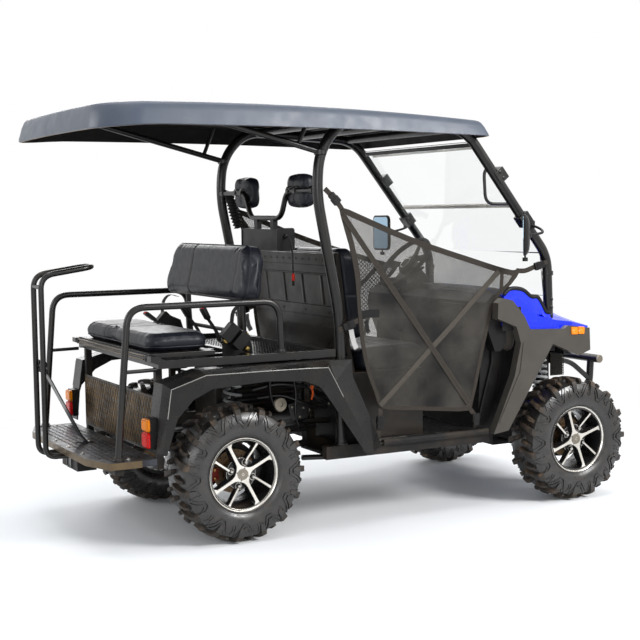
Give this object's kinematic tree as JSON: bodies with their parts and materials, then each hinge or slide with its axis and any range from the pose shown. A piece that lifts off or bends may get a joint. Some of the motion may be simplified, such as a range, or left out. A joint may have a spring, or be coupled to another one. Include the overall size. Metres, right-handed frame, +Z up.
{
  "type": "golf cart",
  "caption": "Off-road golf cart with a hard roof on a roll cage, side nets, a front bench and a rear-facing flip seat with foot platform, hand rails and grab bar.",
  "frame": {"origin": "on the ground, at the centre of the cart's length and width", "axes": "+X forward in the driving direction, +Y to the cart's left, +Z up"},
  "size_m": [2.9577, 1.504, 1.9352],
  "materials": {
    "black_steel": "gloss powder coat",
    "roof_plastic": "satin",
    "clear": "clear",
    "blue_plastic": "gloss",
    "grey_plastic": "satin",
    "dark_plastic": "grained",
    "iron": "as cast",
    "spring_steel": "satin",
    "alloy": "machined face",
    "tyre_rubber": "matt",
    "vinyl": "satin vinyl",
    "lamp_red": "gloss",
    "lamp_clear": "gloss",
    "net_cloth": "woven mesh"
  },
  "bodies": {
    "chassis": {"frame": "black_steel", "roll_cage": "black_steel", "roof": "roof_plastic", "windshield_upper": "clear", "windshield_lower": "clear", "hood": "blue_plastic", "nose_panel": "grey_plastic", "headlamp_right": "lamp_clear", "headlamp_left": "lamp_clear", "front_fender_right": "grey_plastic", "front_fender_left": "grey_plastic", "rear_fender_right": "dark_plastic", "rear_fender_left": "dark_plastic", "bull_bar": "black_steel", "floor_pan": "dark_plastic", "dash": "dark_plastic", "engine": "iron", "front_suspension": "black_steel", "rear_axle": "black_steel", "shock_front_right": "spring_steel", "shock_front_left": "spring_steel", "shock_rear_right": "spring_steel", "shock_rear_left": "spring_steel", "front_seat_frame": "dark_plastic", "front_cushion": "vinyl", "front_backrest": "vinyl", "headrest_bar": "black_steel", "sound_box": "dark_plastic", "rear_seat_base": "black_steel", "rear_backrest": "vinyl", "foot_platform": "black_steel", "kick_panel": "black_steel", "grab_bar": "black_steel", "handrail_right": "black_steel", "handrail_left": "black_steel", "tail_lamp_right": "lamp_red", "tail_lamp_left": "lamp_red", "mirror_right": "dark_plastic", "mirror_left": "dark_plastic", "side_net_right": "net_cloth", "side_net_left": "net_cloth"},
    "steering": {"steering_wheel": "dark_plastic"},
    "knuckle_right": {"knuckle_right": "iron"},
    "knuckle_left": {"knuckle_left": "iron"},
    "wheel_front_right": {"rim_front_right": "alloy", "tyre_front_right": "tyre_rubber"},
    "wheel_front_left": {"rim_front_left": "alloy", "tyre_front_left": "tyre_rubber"},
    "wheel_rear_right": {"rim_rear_right": "alloy", "tyre_rear_right": "tyre_rubber"},
    "wheel_rear_left": {"rim_rear_left": "alloy", "tyre_rear_left": "tyre_rubber"},
    "seat_lid": {"rear_seat_lid": "black_steel", "rear_cushion": "vinyl"}
  },
  "joints": [
    {"name": "steering_wheel_turn", "type": "hinge", "parent": "chassis", "child": "steering", "pos_m": [0.63375, 0.28, 1.17], "axis": [-0.7314, 0, 0.682], "range_deg": [-420, 420]},
    {"name": "steer_right", "type": "hinge", "parent": "chassis", "child": "knuckle_right", "pos_m": [1.05375, -0.505, 0.304], "axis": [0, 0, 1], "range_deg": [-30, 30]},
    {"name": "steer_left", "type": "hinge", "parent": "chassis", "child": "knuckle_left", "pos_m": [1.05375, 0.505, 0.304], "axis": [0, 0, 1], "range_deg": [-30, 30]},
    {"name": "spin_front_right", "type": "hinge", "parent": "knuckle_right", "child": "wheel_front_right", "pos_m": [1.05375, -0.575, 0.304], "axis": [0, 1, 0], "continuous": true},
    {"name": "spin_front_left", "type": "hinge", "parent": "knuckle_left", "child": "wheel_front_left", "pos_m": [1.05375, 0.575, 0.304], "axis": [0, 1, 0], "continuous": true},
    {"name": "spin_rear_right", "type": "hinge", "parent": "chassis", "child": "wheel_rear_right", "pos_m": [-0.74125, -0.5, 0.304], "axis": [0, 1, 0], "continuous": true},
    {"name": "spin_rear_left", "type": "hinge", "parent": "chassis", "child": "wheel_rear_left", "pos_m": [-0.74125, 0.5, 0.304], "axis": [0, 1, 0], "continuous": true},
    {"name": "seat_flip", "type": "hinge", "parent": "chassis", "child": "seat_lid", "pos_m": [-1.12625, 0, 0.8295], "axis": [0, -1, 0], "range_deg": [0, 180]}
  ],
  "couplings": [
    {"joint": "steer_right", "follows": "steering_wheel_turn", "ratio": 0.071429},
    {"joint": "steer_left", "follows": "steering_wheel_turn", "ratio": 0.071429}
  ]
}
